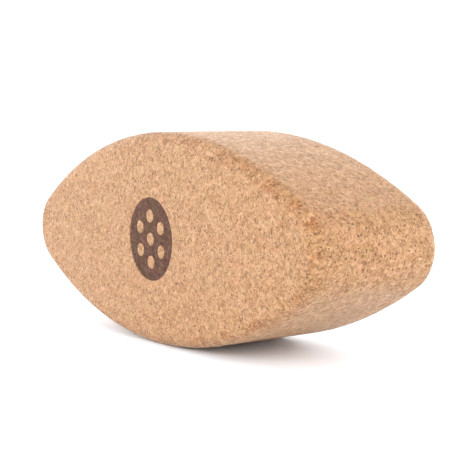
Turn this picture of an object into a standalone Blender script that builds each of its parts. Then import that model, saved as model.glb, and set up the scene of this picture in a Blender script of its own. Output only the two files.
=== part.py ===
"""Balance block of agglomerated cork: a lens-shaped block that rocks on its curved belly.

The block stands on its belly at the origin. Its length lies along X, its two flat faces are
square to Y and +Z is up. A round emblem is burnt into the middle of the front face, at -Y.
Lengths are in metres. Run it with blender --background --python part.py, or from Blender's
text editor.
"""

import math

import bmesh
import bpy
from mathutils import Vector

# Block
LENGTH = 0.300
HEIGHT = 0.120
WIDTH = 0.078
TIP_RADIUS = 0.025
EDGE_RADIUS = 0.0075

# Emblem: a dark disc with a middle dot and a ring of dots left as bare cork
EMBLEM_DIAMETER = 0.047
DOT_DIAMETER = 0.0075
DOT_RING_RADIUS = 0.0130
DOTS_IN_RING = 6
BURN_DEPTH = 0.0010
BURN_SINK = 0.0001
GAP = 0.0003

# How finely the round shapes are divided; an odd count rests the belly on the middle of a facet
BELLY_STEPS = 47
TIP_STEPS = 18
EDGE_STEPS = 6
DISC_STEPS = 72
DOT_STEPS = 24
RIM_ANGLE = math.radians(60)
SHARP_ANGLE = math.radians(30)

# The arc of the belly, which meets both tips without a corner
TIP_CENTRE = LENGTH / 2 - TIP_RADIUS
HALF_HEIGHT = HEIGHT / 2
BELLY_RADIUS = (TIP_CENTRE**2 + HALF_HEIGHT**2 - TIP_RADIUS**2) / (2 * (HALF_HEIGHT - TIP_RADIUS))
BELLY_HALF_ANGLE = math.atan2(TIP_CENTRE, BELLY_RADIUS - HALF_HEIGHT)


def clear_scene():
    for old in list(bpy.data.objects):
        bpy.data.objects.remove(old, do_unlink=True)


def material(name, colour, roughness, metallic=0.0):
    """A material with a plain Principled BSDF."""
    made = bpy.data.materials.new(name)
    made.use_nodes = True
    shader = made.node_tree.nodes["Principled BSDF"]
    shader.inputs["Base Color"].default_value = (*colour, 1.0)
    shader.inputs["Roughness"].default_value = roughness
    shader.inputs["Metallic"].default_value = metallic
    return made


def add_object(name, shape, finish=None, parent=None):
    """An object named name from the bmesh shape, which is freed."""
    bmesh.ops.recalc_face_normals(shape, faces=shape.faces)
    mesh = bpy.data.meshes.new(name)
    shape.to_mesh(mesh)
    shape.free()
    mesh.shade_smooth()
    mesh.set_sharp_from_angle(angle=SHARP_ANGLE)
    if finish:
        mesh.materials.append(finish)
    made = bpy.data.objects.new(name, mesh)
    made.parent = parent
    bpy.context.scene.collection.objects.link(made)
    return made


def arc(centre, radius, start, sweep, steps):
    """Points in the XZ plane on an arc that starts at an angle from +X towards +Z.

    The last point is left out, because the next arc starts there.
    """
    turns = [start + sweep * step / steps for step in range(steps)]
    return [
        Vector((centre[0] + radius * math.cos(turn), 0, centre[1] + radius * math.sin(turn)))
        for turn in turns
    ]


def lens_outline():
    """The block's outline about its own centre: belly, right tip, back, left tip."""
    quarter = math.pi / 2
    tip_sweep = 2 * (quarter - BELLY_HALF_ANGLE)
    belly_sweep = 2 * BELLY_HALF_ANGLE
    rise = BELLY_RADIUS - HALF_HEIGHT
    belly = arc((0, rise), BELLY_RADIUS, -quarter - BELLY_HALF_ANGLE, belly_sweep, BELLY_STEPS)
    right = arc((TIP_CENTRE, 0), TIP_RADIUS, BELLY_HALF_ANGLE - quarter, tip_sweep, TIP_STEPS)
    back = arc((0, -rise), BELLY_RADIUS, quarter - BELLY_HALF_ANGLE, belly_sweep, BELLY_STEPS)
    left = arc((-TIP_CENTRE, 0), TIP_RADIUS, quarter + BELLY_HALF_ANGLE, tip_sweep, TIP_STEPS)
    return belly + right + back + left


def lens_block():
    """The square-edged block, centred on its own origin."""
    shape = bmesh.new()
    front = Vector((0, -WIDTH / 2, 0))
    face = shape.faces.new([shape.verts.new(point + front) for point in lens_outline()])
    swept = bmesh.ops.extrude_face_region(shape, geom=[face], use_keep_orig=True)
    rear = [item for item in swept["geom"] if isinstance(item, bmesh.types.BMVert)]
    bmesh.ops.translate(shape, verts=rear, vec=(0, WIDTH, 0))
    return shape


def dot_centres():
    """The middle dot, then the dots of the ring."""
    turns = [math.tau * (dot + 0.5) / DOTS_IN_RING for dot in range(DOTS_IN_RING)]
    ring = [DOT_RING_RADIUS * Vector((math.cos(turn), math.sin(turn), 0)) for turn in turns]
    return [Vector((0, 0, 0))] + ring


def circle_edges(shape, centre, radius, steps):
    """The edges of a circle in the XY plane."""
    turns = [math.tau * step / steps for step in range(steps)]
    verts = [
        shape.verts.new(centre + radius * Vector((math.cos(turn), math.sin(turn), 0)))
        for turn in turns
    ]
    return [shape.edges.new(pair) for pair in zip(verts, verts[1:] + verts[:1])]


def pierced_disc(disc_radius, dot_radius, low, high):
    """A disc pierced by the dots, from low to high along its own Z."""
    shape = bmesh.new()
    edges = circle_edges(shape, Vector((0, 0, 0)), disc_radius, DISC_STEPS)
    for centre in dot_centres():
        edges += circle_edges(shape, centre, dot_radius, DOT_STEPS)
    bmesh.ops.triangle_fill(shape, use_beauty=True, edges=edges)
    bmesh.ops.translate(shape, verts=shape.verts, vec=(0, 0, low))
    swept = bmesh.ops.extrude_face_region(shape, geom=shape.faces[:], use_keep_orig=True)
    top = [item for item in swept["geom"] if isinstance(item, bmesh.types.BMVert)]
    bmesh.ops.translate(shape, verts=top, vec=(0, 0, high - low))
    return shape


def lay_on_front(emblem):
    """Lays an emblem shape on the block's front face, with its Z out of the face."""
    emblem.location = (0, -WIDTH / 2, 0)
    emblem.rotation_euler = (math.pi / 2, 0, 0)


def cork_block(stand):
    """The block, with rounded rims and the shallow recess that the burning leaves."""
    cork = material("agglomerated_cork", (0.70, 0.44, 0.26), 0.85)
    block = add_object("cork_block", lens_block(), cork, stand)
    block.location = (0, 0, HALF_HEIGHT)

    rims = block.modifiers.new("rounded_rims", "BEVEL")
    rims.width = EDGE_RADIUS
    rims.segments = EDGE_STEPS
    rims.limit_method = "ANGLE"
    rims.angle_limit = RIM_ANGLE

    disc_radius = EMBLEM_DIAMETER / 2 + GAP
    dot_radius = DOT_DIAMETER / 2 - GAP
    cutter = add_object(
        "emblem_cutter", pierced_disc(disc_radius, dot_radius, -BURN_DEPTH, BURN_DEPTH), None, block
    )
    lay_on_front(cutter)
    cutter.hide_render = True
    cutter.display_type = "WIRE"

    recess = block.modifiers.new("emblem_recess", "BOOLEAN")
    recess.operation = "DIFFERENCE"
    recess.object = cutter
    return block


def burnt_emblem(block):
    """The charred layer of the emblem, just below the face and clear of the recess."""
    char = material("charred_cork", (0.125, 0.070, 0.055), 0.80)
    bottom = GAP - BURN_DEPTH
    shape = pierced_disc(EMBLEM_DIAMETER / 2, DOT_DIAMETER / 2, bottom, -BURN_SINK)
    emblem = add_object("burnt_emblem", shape, char, block)
    lay_on_front(emblem)


def main():
    clear_scene()
    stand = bpy.data.objects.new("balance_block", None)
    bpy.context.scene.collection.objects.link(stand)
    block = cork_block(stand)
    burnt_emblem(block)


main()
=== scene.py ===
"""Looks of the cork balance block: its granules, pits and worn rims, and the burnt emblem.

Lengths are in metres and the frame is the CAD model's: X along the block, Y across it with the
front face at -Y, and Z up from the floor. Names that end in _MM hold millimetres, the unit in
which the granule patterns are laid out.
"""

import math

import bmesh
import bpy
import numpy as np
from mathutils import Matrix, Vector
from mathutils.geometry import delaunay_2d_cdt
from mathutils.kdtree import KDTree


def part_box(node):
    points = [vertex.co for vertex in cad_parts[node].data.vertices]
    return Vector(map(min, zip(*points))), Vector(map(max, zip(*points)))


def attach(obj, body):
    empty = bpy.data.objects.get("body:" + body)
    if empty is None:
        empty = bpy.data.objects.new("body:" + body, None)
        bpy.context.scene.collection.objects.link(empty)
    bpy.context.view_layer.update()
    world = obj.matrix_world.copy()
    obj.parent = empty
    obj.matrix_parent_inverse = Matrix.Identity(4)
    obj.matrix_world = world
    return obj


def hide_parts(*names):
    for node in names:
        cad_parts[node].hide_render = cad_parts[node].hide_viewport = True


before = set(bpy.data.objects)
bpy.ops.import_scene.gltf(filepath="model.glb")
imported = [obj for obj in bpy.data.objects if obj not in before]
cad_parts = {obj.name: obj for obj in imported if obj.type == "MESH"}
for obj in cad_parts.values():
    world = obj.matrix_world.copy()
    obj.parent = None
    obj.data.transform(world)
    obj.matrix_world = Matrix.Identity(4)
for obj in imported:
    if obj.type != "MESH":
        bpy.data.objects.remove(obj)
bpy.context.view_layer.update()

MM = 1000.0

# Sizes of the block that its box doesn't give
TIP_RADIUS = 0.025
EDGE_RADIUS = 0.0075
DOT_RADIUS = 0.00375
DOT_RING_RADIUS = 0.0130
DOTS_IN_RING = 6

# The surface mesh, and how far below the face the emblem and its recess go
MESH_STEP = 0.00106
MERGE_DISTANCE = 1e-9
RECESS_FLOOR = 0.0005
CHAR_BOTTOM = 0.0004
CHAR_TOP = 0.00003
CHAR_CLEARANCE = 0.00003

# Sizes of the cork's own pattern
COARSE_GRAIN_MM = 3.8
GRAIN_MM = 2.1
CRUMB_MM = 0.9
FIBRE_MM = 0.7
CLOUD_MM = 12.0
HUE_PATCH_MM = 9.0
SWELL_MM = 2.6
SEAM_HALF_WIDTH_MM = 0.26
SEAM_CORE_MM = 0.08
SEAM_PATCH_MM = 2.8
SPECK_SPACING_MM = 2.2
SPECK_RADIUS_MM = 0.50
PINHOLE_SPACING_MM = 1.5
PINHOLE_RADIUS_MM = 0.68
PINHOLE_PATCH_MM = 7.0
PIT_SPACING_MM = 6.5
PIT_RADIUS_MM = 1.2

# How far a noise bends the outlines in each pattern of cells, as (its size, its reach) in mm
COARSE_BEND = (3.0, 1.0)
GRAIN_BEND = (1.2, 0.35)
CRUMB_BEND = (0.5, 0.2)
SPECK_BEND = (1.0, 0.4)
PINHOLE_BEND = (0.8, 0.3)
PIT_BEND = (2.0, 0.8)

# The worn band along the rounded rims: how far its middle is from the flat face's outline, its
# half width, its core's half width and the size of its patches. Toward -X it fades to its least.
RIM_MIDDLE_MM = 5.5
RIM_BAND_MM = 6.0
RIM_CORE_MM = 1.5
WEAR_PATCH_MM = 7.0
WEAR_LEAST = 0.25
WEAR_LEAST_X_MM = -80.0
WEAR_FULL_X_MM = 30.0

# Linear colours of the cork by tone, what its hue multiplies them by, and its dark features
CORK_TONES = (
    (0.00, (0.220, 0.083, 0.011)),
    (0.28, (0.354, 0.161, 0.053)),
    (0.50, (0.455, 0.232, 0.099)),
    (0.72, (0.526, 0.283, 0.132)),
    (1.00, (0.600, 0.345, 0.177)),
)
CORK_HUES = (
    (0.20, (0.980, 1.010, 0.950)),
    (0.50, (1.000, 1.000, 1.000)),
    (0.80, (1.020, 0.985, 1.000)),
)
WEAR_TINT = (0.98, 0.83, 0.67)
# The dark below is the seams' and pores' own colour, and also painted shade in the pits
CORK_DARK_AND_PIT_SHADE = (0.145, 0.045, 0.008)
SPECK_COLOUR = (0.175, 0.060, 0.010)
SHEEN_TINT = (1.0, 0.88, 0.70, 1.0)

# Linear colours of the char
CHAR_TONES = (
    (0.00, (0.056, 0.017, 0.009)),
    (0.50, (0.114, 0.047, 0.029)),
    (1.00, (0.205, 0.102, 0.070)),
)
CHAR_SEAM = (0.045, 0.013, 0.008)
CHAR_OLIVE = (0.090, 0.055, 0.021)

# The floor: white paper, a little blue against the cork's orange in its shadow
FLOOR_RADIUS = 4.0
FLOOR_SIDES = 96
FLOOR_COLOUR = (1.06, 1.15, 1.25, 1.0)

# The light: the sky's strength overhead and what its bright band adds, between the sines of the
# elevations where the band starts, is full and ends; and the softbox
SKY_STRENGTH = 0.69
BAND_STRENGTH = 2.73
BAND_START, BAND_FULL, BAND_END = -0.17, 0.48, 0.64
SOFTBOX_SIZE = (1.6, 1.2)
SOFTBOX_ENERGY = 2.0
SOFTBOX_PLACE = (-0.5, -0.5, 1.6)
SOFTBOX_AIM = (0.0, 0.0, 0.06)

# The camera
CAMERA_AZIMUTH = math.radians(55.68)
CAMERA_ELEVATION = math.radians(4.75)
CAMERA_ROLL = math.radians(-1.08)
CAMERA_DISTANCE = 0.6490
CAMERA_RIGHT = 0.0165
CAMERA_UP = -0.0015
LENS_MM = 84.8
SENSOR_MM = 36.0


# ---------------------------------------------------------------- shape


def arc(centre, radius, start, sweep):
    """Points and outward directions on an arc in the XZ plane, without its last point."""
    steps = round(radius * sweep / MESH_STEP)
    turns = start + sweep * np.arange(steps) / steps
    directions = np.stack([np.cos(turns), np.sin(turns)], axis=1)
    return np.array(centre) + radius * directions, directions


def face_outline(low, high):
    """The flat face's outline inside its rounded rim, and the outward direction at each point."""
    half_height = high.z / 2
    tip = (high.x - low.x) / 2 - TIP_RADIUS
    belly_radius = (tip**2 + half_height**2 - TIP_RADIUS**2) / (2 * (half_height - TIP_RADIUS))
    rise = belly_radius - half_height
    lean = math.atan2(tip, rise)
    quarter = math.pi / 2
    belly = belly_radius - EDGE_RADIUS
    nose = TIP_RADIUS - EDGE_RADIUS
    arcs = (
        arc((0, half_height + rise), belly, -quarter - lean, 2 * lean),
        arc((tip, half_height), nose, lean - quarter, 2 * (quarter - lean)),
        arc((0, half_height - rise), belly, quarter - lean, 2 * lean),
        arc((-tip, half_height), nose, quarter + lean, 2 * (quarter - lean)),
    )
    return tuple(np.concatenate(part) for part in zip(*arcs))


def emblem_circles():
    """(centre, radius) in the XZ plane of the emblem's disc, then of each dot in it."""
    low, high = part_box("burnt_emblem")
    middle = np.array([(low.x + high.x) / 2, (low.z + high.z) / 2])
    turns = math.tau * (np.arange(DOTS_IN_RING) + 0.5) / DOTS_IN_RING
    ring = middle + DOT_RING_RADIUS * np.stack([np.cos(turns), np.sin(turns)], axis=1)
    disc = (middle, (high.x - low.x) / 2)
    return [disc] + [(centre, DOT_RADIUS) for centre in (middle, *ring)]


def in_emblem(point, circles):
    """True for a point on the emblem's disc and off its dots."""
    (middle, disc_radius), *dots = circles
    on_disc = np.linalg.norm(point - middle) < disc_radius
    return on_disc and all(np.linalg.norm(point - centre) > radius for centre, radius in dots)


def grid_inside(loop, margin):
    """Points of an even triangular grid inside a convex anticlockwise loop by more than margin."""
    low, high = loop.min(axis=0), loop.max(axis=0)
    x, z = np.meshgrid(
        np.arange(low[0], high[0], MESH_STEP),
        np.arange(low[1], high[1], MESH_STEP * math.sqrt(0.75)),
    )
    x[1::2] += MESH_STEP / 2
    grid = np.stack([x.ravel(), z.ravel()], axis=1)
    sides = np.roll(loop, -1, axis=0) - loop
    sides /= np.linalg.norm(sides, axis=1)[:, None]
    inside = np.ones(len(grid), bool)
    for corner, side in zip(loop, sides):
        away = side[0] * (grid[:, 1] - corner[1]) - side[1] * (grid[:, 0] - corner[0])
        inside &= away > margin
    return grid[inside]


def triangulated(loop, circles=()):
    """Points and even triangles that fill the loop, with edges along each circle.

    The loop's own points come first, in their order.
    """
    grid = grid_inside(loop, MESH_STEP / 2)
    rings = [loop]
    for centre, radius in circles:
        rings.append(arc(centre, radius, 0.0, math.tau)[0])
        off_circle = np.abs(np.linalg.norm(grid - centre, axis=1) - radius)
        grid = grid[off_circle > MESH_STEP / 2]
    edges, first = [], 0
    for ring in rings:
        count = len(ring)
        edges += [(first + step, first + (step + 1) % count) for step in range(count)]
        first += count
    points = np.concatenate([*rings, grid])
    made = delaunay_2d_cdt([Vector(point) for point in points], edges, [], 0, MERGE_DISTANCE)
    return np.array([tuple(point) for point in made[0]]), made[2]


def rim_profile(low, high):
    """Rows from the front face's outline over the rim and the side to the rear face's outline.

    Each row is its Y, its reach out of the face's outline, its outward direction as (radial, Y)
    and its distance in mm from the nearer face along the surface.
    """
    steps = round(EDGE_RADIUS * math.pi / 2 / MESH_STEP)
    turns = [math.pi / 2 * step / steps for step in range(steps + 1)]
    front, rear = [], []
    for turn in turns:
        depth = EDGE_RADIUS * (1 - math.cos(turn))
        reach = EDGE_RADIUS * math.sin(turn)
        from_face = MM * EDGE_RADIUS * turn
        front.append((low.y + depth, reach, (math.sin(turn), -math.cos(turn)), from_face))
        rear.append((high.y - depth, reach, (math.sin(turn), math.cos(turn)), from_face))
    straight = high.y - low.y - 2 * EDGE_RADIUS
    steps = round(straight / MESH_STEP)
    side = []
    for step in range(1, steps):
        along = straight * step / steps
        from_face = MM * (EDGE_RADIUS * math.pi / 2 + min(along, straight - along))
        side.append((low.y + EDGE_RADIUS + along, EDGE_RADIUS, (1.0, 0.0), from_face))
    return front + side + rear[::-1]


class Surface:
    """A bmesh whose points carry an outward direction and a distance from the face's outline."""

    def __init__(self):
        self.mesh = bmesh.new()
        self.outward = self.mesh.verts.layers.float_vector.new("outward")
        self.from_face = self.mesh.verts.layers.float.new("from_face_mm")

    def point(self, position, outward, from_face):
        vert = self.mesh.verts.new(position)
        vert[self.outward] = outward
        vert[self.from_face] = from_face
        return vert

    def sink(self, faces, depth, keep=False):
        """Copies faces along +Y, with walls to them, out of the relief. keep keeps the faces.

        Blender's own extrusion isn't used, because it orders the walls differently in each run.
        """
        chosen = set(faces)
        sunk = {}
        for face in faces:
            for vert in face.verts:
                if vert not in sunk:
                    place = vert.co + Vector((0, depth, 0))
                    sunk[vert] = self.point(place, (0, 0, 0), vert[self.from_face])
            self.mesh.faces.new([sunk[vert] for vert in face.verts])
            for side in face.loops:
                if len(chosen.intersection(side.edge.link_faces)) == 1:
                    start, end = side.vert, side.link_loop_next.vert
                    self.mesh.faces.new((start, end, sunk[end], sunk[start]))
        if not keep:
            bmesh.ops.delete(self.mesh, geom=faces, context="FACES")

    def to_piece(self, name):
        bmesh.ops.recalc_face_normals(self.mesh, faces=self.mesh.faces)
        data = bpy.data.meshes.new(name)
        self.mesh.to_mesh(data)
        self.mesh.free()
        data.shade_smooth()
        piece = bpy.data.objects.new(name, data)
        bpy.context.scene.collection.objects.link(piece)
        return piece


def add_face(surface, rim, points, triangles, y, along):
    """Fills a flat face at y that faces along Y, and whose outline is the row of points rim."""
    tree = KDTree(len(rim))
    for number, (x, z) in enumerate(points[: len(rim)]):
        tree.insert((x, z, 0), number)
    tree.balance()
    verts = list(rim)
    for x, z in points[len(rim) :]:
        inset = tree.find((x, z, 0))[2]
        verts.append(surface.point((x, y, z), (0, along, 0), -MM * inset))
    return [surface.mesh.faces.new([verts[corner] for corner in corners]) for corners in triangles]


def cork_surface(circles):
    """The block's closed surface, with a recess for the emblem."""
    low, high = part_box("cork_block")
    outline, radial = face_outline(low, high)
    surface = Surface()
    rows = []
    for y, reach, (out_share, y_share), from_face in rim_profile(low, high):
        row = []
        for (x, z), (dx, dz) in zip(outline + reach * radial, out_share * radial):
            row.append(surface.point((x, y, z), (dx, y_share, dz), from_face))
        rows.append(row)
    for row, following in zip(rows, rows[1:]):
        for corners in zip(row, row[1:] + row[:1], following[1:] + following[:1], following):
            surface.mesh.faces.new(corners)

    points, triangles = triangulated(outline, circles)
    faces = add_face(surface, rows[0], points, triangles, low.y, -1)
    middles = [points[corners].mean(axis=0) for corners in triangles]
    burnt = [face for face, middle in zip(faces, middles) if in_emblem(middle, circles)]
    surface.sink(burnt, RECESS_FLOOR)
    add_face(surface, rows[-1], *triangulated(outline), high.y, 1)
    return surface.to_piece("cork")


def char_surface(circles):
    """The emblem: a closed slab that fills its recess, just below the face."""
    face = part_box("cork_block")[0].y
    (middle, radius), *dots = circles
    circles = [(middle, radius - CHAR_CLEARANCE)]
    circles += [(centre, dot_radius + CHAR_CLEARANCE) for centre, dot_radius in dots]
    points, triangles = triangulated(arc(*circles[0], 0.0, math.tau)[0], circles[1:])
    surface = Surface()
    verts = [surface.point((x, face + CHAR_TOP, z), (0, -1, 0), -MM * radius) for x, z in points]
    for corners in triangles:
        if in_emblem(points[corners].mean(axis=0), circles):
            surface.mesh.faces.new([verts[corner] for corner in corners])
    loose = [vert for vert in surface.mesh.verts if not vert.link_faces]
    bmesh.ops.delete(surface.mesh, geom=loose, context="VERTS")
    surface.sink(surface.mesh.faces[:], CHAR_BOTTOM - CHAR_TOP, keep=True)
    return surface.to_piece("char")


# ---------------------------------------------------------------- node patterns


class Nodes:
    """Adds nodes to a tree. Most methods return an output of the new node, to be linked on."""

    def __init__(self, tree):
        self.tree = tree

    def add(self, kind, **settings):
        node = self.tree.nodes.new(kind)
        for name, value in settings.items():
            setattr(node, name, value)
        return node

    def feed(self, socket, value):
        if isinstance(value, bpy.types.NodeSocket):
            self.tree.links.new(value, socket)
        elif value is not None:
            socket.default_value = value

    def math(self, operation, first, second=None, third=None):
        node = self.add("ShaderNodeMath", operation=operation)
        for socket, value in zip(node.inputs, (first, second, third)):
            self.feed(socket, value)
        return node.outputs[0]

    def total(self, *terms, start=0.0):
        """start plus the sum of (socket, weight, centre) terms, each weight * (socket - centre)."""
        result = start
        for socket, weight, centre in terms:
            shifted = self.math("SUBTRACT", socket, centre)
            result = self.math("MULTIPLY_ADD", shifted, weight, result)
        return result

    def product(self, first, *others):
        for other in others:
            first = self.math("MULTIPLY", first, other)
        return first

    def vector(self, operation, first, second=None, scale=None):
        node = self.add("ShaderNodeVectorMath", operation=operation)
        self.feed(node.inputs[0], first)
        self.feed(node.inputs[1], second)
        if scale is not None:
            self.feed(node.inputs["Scale"], scale)
        return node.outputs[0]

    def band(self, value, low, high, to_low=0.0, to_high=1.0):
        """value's range low..high eased to to_low..to_high, and held outside."""
        node = self.add("ShaderNodeMapRange", interpolation_type="SMOOTHSTEP")
        names = ("Value", "From Min", "From Max", "To Min", "To Max")
        for name, setting in zip(names, (value, low, high, to_low, to_high)):
            self.feed(node.inputs[name], setting)
        return node.outputs[0]

    def noise(self, place, size_mm, detail=2.0, roughness=0.5, output=0):
        node = self.add("ShaderNodeTexNoise")
        settings = {"Vector": place, "Scale": 1 / size_mm, "Detail": detail, "Roughness": roughness}
        for name, setting in settings.items():
            self.feed(node.inputs[name], setting)
        return node.outputs[output]

    def cells(self, place, size_mm, feature="F1"):
        """The outputs of a pattern of cells about size_mm across."""
        node = self.add("ShaderNodeTexVoronoi", feature=feature)
        self.feed(node.inputs["Vector"], place)
        self.feed(node.inputs["Scale"], 1 / size_mm)
        return node.outputs

    def channels(self, colour):
        node = self.add("ShaderNodeSeparateXYZ")
        self.feed(node.inputs[0], colour)
        return node.outputs

    def mix(self, share, first, second, blend="MIX"):
        node = self.add("ShaderNodeMix", data_type="RGBA", blend_type=blend)
        self.feed(node.inputs[0], share)
        for socket, value in zip((node.inputs[6], node.inputs[7]), (first, second)):
            self.feed(socket, (*value, 1.0) if isinstance(value, tuple) else value)
        return node.outputs[2]

    def ramp(self, value, stops):
        node = self.add("ShaderNodeValToRGB")
        points = node.color_ramp.elements
        while len(points) < len(stops):
            points.new(0.5)
        for point, (place, colour) in zip(points, stops):
            point.position = place
            point.color = (*colour, 1.0)
        self.feed(node.inputs[0], value)
        return node.outputs[0]


def bent(nodes, place, size_mm, reach_mm):
    """place shifted by a smooth noise, so that cells laid out on it have uneven outlines."""
    shift = nodes.vector("SUBTRACT", nodes.noise(place, size_mm, 1.0, output=1), (0.5, 0.5, 0.5))
    return nodes.vector("ADD", place, nodes.vector("SCALE", shift, scale=2 * reach_mm))


def rim_wear(nodes, place, from_face):
    """From 0 to 1: how worn the cork is, in patches along the rounded rims."""
    off_middle = nodes.math("ABSOLUTE", nodes.math("SUBTRACT", from_face, RIM_MIDDLE_MM))
    band = nodes.band(off_middle, RIM_BAND_MM, RIM_CORE_MM)
    patches = nodes.band(nodes.noise(place, WEAR_PATCH_MM), 0.42, 0.60)
    x_mm = nodes.channels(place)[0]
    growth = nodes.band(x_mm, WEAR_LEAST_X_MM, WEAR_FULL_X_MM, WEAR_LEAST, 1.0)
    return nodes.product(band, patches, growth)


def dots(nodes, place, spacing_mm, radius_mm, chance_from, soft_mm):
    """From 0 to 1: round spots in the share of cells whose random value is over chance_from."""
    cells = nodes.cells(place, spacing_mm)
    radius = nodes.band(nodes.channels(cells["Color"])[0], chance_from, 1.0, 0.0, radius_mm)
    depth = nodes.math("SUBTRACT", radius, nodes.product(cells["Distance"], spacing_mm))
    return nodes.band(depth, 0.0, soft_mm)


def pits(nodes, place):
    """From 0 to 1: the voids between granules that the cut surface opens."""
    return dots(nodes, bent(nodes, place, *PIT_BEND), PIT_SPACING_MM, PIT_RADIUS_MM, 0.75, 0.5)


def pinholes(nodes, place, wear):
    """From 0 to 1: the pores of the granules, small and dark, thicker where the rim is worn."""
    crowd = nodes.noise(place, PINHOLE_PATCH_MM)
    chance_from = nodes.total((crowd, -1.6, 0.5), (wear, -0.60, 0.0), start=0.62)
    where = bent(nodes, place, *PINHOLE_BEND)
    return dots(nodes, where, PINHOLE_SPACING_MM, PINHOLE_RADIUS_MM, chance_from, 0.12)


def coarse_relief(nodes, place, from_face):
    """Height in mm that the mesh itself carries: sunken granules, pits and worn rims."""
    wear = rim_wear(nodes, place, from_face)
    cells = nodes.cells(bent(nodes, place, *COARSE_BEND), COARSE_GRAIN_MM)
    step = nodes.channels(cells["Color"])[1]
    swell = nodes.noise(place, SWELL_MM)
    depth = nodes.total((step, 0.06, 0.0), (swell, 0.16, 0.3), (pits(nodes, place), 0.45, 0.0))
    worn = nodes.product(wear, nodes.total((swell, 0.6, 0.38), (step, 0.12, 0.0)))
    return nodes.math("SUBTRACT", 0.0, nodes.math("ADD", depth, nodes.math("MAXIMUM", worn, 0.0)))


def carve(piece):
    """Moves the piece's points along their outward direction by the coarse relief, for good."""
    tree = bpy.data.node_groups.new("cork_relief", "GeometryNodeTree")
    for way in ("INPUT", "OUTPUT"):
        tree.interface.new_socket("Geometry", in_out=way, socket_type="NodeSocketGeometry")
    nodes = Nodes(tree)
    place = nodes.vector("SCALE", nodes.add("GeometryNodeInputPosition").outputs[0], scale=MM)
    from_face = nodes.add("GeometryNodeInputNamedAttribute", data_type="FLOAT")
    from_face.inputs["Name"].default_value = "from_face_mm"
    outward = nodes.add("GeometryNodeInputNamedAttribute", data_type="FLOAT_VECTOR")
    outward.inputs["Name"].default_value = "outward"
    height = nodes.product(coarse_relief(nodes, place, from_face.outputs[0]), 1 / MM)
    move = nodes.add("GeometryNodeSetPosition")
    nodes.feed(move.inputs["Geometry"], nodes.add("NodeGroupInput").outputs[0])
    nodes.feed(move.inputs["Offset"], nodes.vector("SCALE", outward.outputs[0], scale=height))
    nodes.feed(nodes.add("NodeGroupOutput").inputs[0], move.outputs[0])

    modifier = piece.modifiers.new("relief", "NODES")
    modifier.node_group = tree
    carved = piece.evaluated_get(bpy.context.evaluated_depsgraph_get())
    data = bpy.data.meshes.new_from_object(carved)
    piece.modifiers.clear()
    piece.data = data


# ---------------------------------------------------------------- materials


def new_material(name):
    """A material, its nodes, its shader and each point's place in mm to lay patterns by."""
    material = bpy.data.materials.new(name)
    material.use_nodes = True
    nodes = Nodes(material.node_tree)
    shader = material.node_tree.nodes["Principled BSDF"]
    place = nodes.vector("SCALE", nodes.add("ShaderNodeTexCoord").outputs["Object"], scale=MM)
    return material, nodes, shader, place


def add_bump(nodes, shader, height_mm):
    bump = nodes.add("ShaderNodeBump")
    bump.inputs["Distance"].default_value = 1 / MM
    nodes.feed(bump.inputs["Height"], height_mm)
    nodes.feed(shader.inputs["Normal"], bump.outputs[0])


def grain(nodes, place, wear=0.0):
    """The granules' tone and hue, both about 0.5, and the seams between them, from 0 to 1."""
    grain_place = bent(nodes, place, *GRAIN_BEND)
    granule = nodes.channels(nodes.cells(grain_place, GRAIN_MM)["Color"])
    coarse_place = bent(nodes, place, *COARSE_BEND)
    coarse = nodes.channels(nodes.cells(coarse_place, COARSE_GRAIN_MM)["Color"])
    crumb = nodes.channels(nodes.cells(bent(nodes, place, *CRUMB_BEND), CRUMB_MM)["Color"])
    fibre = nodes.noise(place, FIBRE_MM, roughness=0.7)
    clouds = nodes.noise(place, CLOUD_MM)
    pale = nodes.band(granule[1], 0.90, 0.98, 0.0, 0.28)
    tone = nodes.total(
        (granule[0], 0.26, 0.5),
        (coarse[0], 0.08, 0.5),
        (crumb[0], 0.38, 0.5),
        (fibre, 0.92, 0.5),
        (clouds, 0.2, 0.5),
        (pale, 1.0, 0.03),
        start=0.5,
    )
    patches = nodes.noise(place, HUE_PATCH_MM)
    hue = nodes.total((granule[2], 0.4, 0.5), (coarse[1], 0.3, 0.5), (patches, 1.7, 0.5), start=0.5)

    to_edge = nodes.cells(grain_place, GRAIN_MM, "DISTANCE_TO_EDGE")["Distance"]
    half_width = nodes.total((wear, 0.12, 0.0), start=SEAM_HALF_WIDTH_MM)
    seam = nodes.band(nodes.product(to_edge, GRAIN_MM), half_width, SEAM_CORE_MM)
    kept = nodes.total((wear, 0.10, 0.0), start=nodes.noise(place, SEAM_PATCH_MM))
    return tone, hue, nodes.product(seam, nodes.band(kept, 0.47, 0.56))


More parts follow.
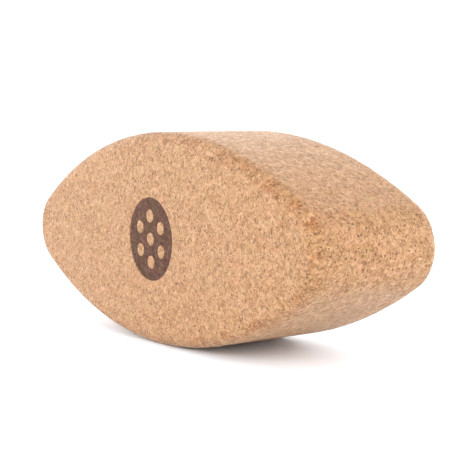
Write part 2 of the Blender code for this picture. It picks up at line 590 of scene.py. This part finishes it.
def cork_material():
    material, nodes, shader, place = new_material("agglomerated_cork")
    from_face = nodes.add("ShaderNodeAttribute", attribute_name="from_face_mm").outputs["Fac"]
    wear = rim_wear(nodes, place, from_face)
    tone, hue, seam = grain(nodes, place, wear)
    pit = pits(nodes, place)
    pinhole = pinholes(nodes, place, wear)
    speck_place = bent(nodes, place, *SPECK_BEND)
    speck = dots(nodes, speck_place, SPECK_SPACING_MM, SPECK_RADIUS_MM, 0.66, 0.2)

    colour = nodes.mix(1.0, nodes.ramp(tone, CORK_TONES), nodes.ramp(hue, CORK_HUES), "MULTIPLY")
    orange = nodes.product(wear, nodes.band(hue, 0.38, 0.55, 0.15, 1.0))
    colour = nodes.mix(orange, colour, nodes.mix(1.0, colour, WEAR_TINT, "MULTIPLY"))
    colour = nodes.mix(nodes.product(seam, 0.50), colour, CORK_DARK_AND_PIT_SHADE)
    colour = nodes.mix(nodes.product(speck, 0.75), colour, SPECK_COLOUR)
    colour = nodes.mix(nodes.product(pinhole, 0.90), colour, CORK_DARK_AND_PIT_SHADE)
    # Painted shade: the pits are darkened as if shade fell into them
    colour = nodes.mix(nodes.product(pit, 0.55), colour, CORK_DARK_AND_PIT_SHADE)
    nodes.feed(shader.inputs["Base Color"], colour)
    nodes.feed(shader.inputs["Roughness"], nodes.band(tone, 0.2, 0.8, 0.68, 0.48))
    shader.inputs["Sheen Weight"].default_value = 0.15
    shader.inputs["Sheen Roughness"].default_value = 0.5
    shader.inputs["Sheen Tint"].default_value = SHEEN_TINT

    add_bump(nodes, shader, nodes.total(
        (tone, 0.16, 0.5),
        (seam, -0.14, 0.0),
        (speck, -0.08, 0.0),
        (pinhole, -0.22, 0.0),
        (pit, -0.4, 0.0),
    ))
    return material


def char_material():
    material, nodes, shader, place = new_material("charred_cork")
    tone, hue, seam = grain(nodes, place)
    colour = nodes.mix(nodes.product(seam, 0.5), nodes.ramp(tone, CHAR_TONES), CHAR_SEAM)
    colour = nodes.mix(nodes.band(hue, 0.60, 0.30, 0.0, 0.4), colour, CHAR_OLIVE)
    nodes.feed(shader.inputs["Base Color"], colour)
    nodes.feed(shader.inputs["Roughness"], nodes.band(tone, 0.2, 0.8, 0.80, 0.60))
    shader.inputs["Specular IOR Level"].default_value = 0.2
    add_bump(nodes, shader, nodes.total((tone, 0.14, 0.5), (seam, -0.14, 0.0)))
    return material


# ---------------------------------------------------------------- pieces and stage


def make_block():
    circles = emblem_circles()
    finishes = (
        (cork_surface(circles), "cork_block", "cork", cork_material()),
        (char_surface(circles), "burnt_emblem", "char", char_material()),
    )
    for piece, node, slot, material in finishes:
        carve(piece)
        piece.data.materials.append(material)
        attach(piece, "root")
        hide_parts(node)


def make_floor():
    mesh = bmesh.new()
    bmesh.ops.create_circle(mesh, cap_ends=True, segments=FLOOR_SIDES, radius=FLOOR_RADIUS)
    data = bpy.data.meshes.new("floor")
    mesh.to_mesh(data)
    mesh.free()
    floor = bpy.data.objects.new("floor", data)
    bpy.context.scene.collection.objects.link(floor)
    material = bpy.data.materials.new("white_paper")
    material.use_nodes = True
    shader = material.node_tree.nodes["Principled BSDF"]
    shader.inputs["Base Color"].default_value = FLOOR_COLOUR
    shader.inputs["Roughness"].default_value = 0.9
    shader.inputs["Specular IOR Level"].default_value = 0.2
    data.materials.append(material)


def make_light():
    world = bpy.data.worlds.new("studio")
    world.use_nodes = True
    background = world.node_tree.nodes["Background"]
    background.inputs["Color"].default_value = (1.0, 1.0, 1.0, 1.0)
    nodes = Nodes(world.node_tree)
    direction = nodes.channels(nodes.add("ShaderNodeTexCoord").outputs["Generated"])
    height = nodes.math("MAXIMUM", direction[2], 0.0)
    rise = nodes.band(height, BAND_START, BAND_FULL)
    walls = nodes.product(rise, nodes.band(height, BAND_END, BAND_FULL))
    strength = nodes.total((walls, BAND_STRENGTH, 0.0), start=SKY_STRENGTH)
    nodes.feed(background.inputs["Strength"], strength)
    bpy.context.scene.world = world

    lamp = bpy.data.lights.new("softbox", "AREA")
    lamp.shape = "RECTANGLE"
    lamp.size, lamp.size_y = SOFTBOX_SIZE
    lamp.energy = SOFTBOX_ENERGY
    softbox = bpy.data.objects.new("softbox", lamp)
    softbox.location = SOFTBOX_PLACE
    aim = Vector(SOFTBOX_AIM) - softbox.location
    softbox.rotation_euler = aim.to_track_quat("-Z", "Y").to_euler()
    bpy.context.scene.collection.objects.link(softbox)
    bpy.context.scene.view_settings.view_transform = "Standard"


def make_camera():
    half_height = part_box("cork_block")[1].z / 2
    back = Vector((
        math.sin(CAMERA_AZIMUTH) * math.cos(CAMERA_ELEVATION),
        -math.cos(CAMERA_AZIMUTH) * math.cos(CAMERA_ELEVATION),
        math.sin(CAMERA_ELEVATION),
    ))
    right = Vector((0, 0, 1)).cross(back).normalized()
    up = back.cross(right)
    data = bpy.data.cameras.new("camera")
    data.lens = LENS_MM
    data.sensor_width = SENSOR_MM
    camera = bpy.data.objects.new("camera", data)
    turned = Matrix((right, up, back)).transposed() @ Matrix.Rotation(CAMERA_ROLL, 3, "Z")
    middle = Vector((0, 0, half_height))
    place = middle + CAMERA_DISTANCE * back + CAMERA_RIGHT * right + CAMERA_UP * up
    camera.matrix_world = Matrix.Translation(place) @ turned.to_4x4()
    bpy.context.scene.collection.objects.link(camera)
    bpy.context.scene.camera = camera


make_camera()
make_block()
make_floor()
make_light()
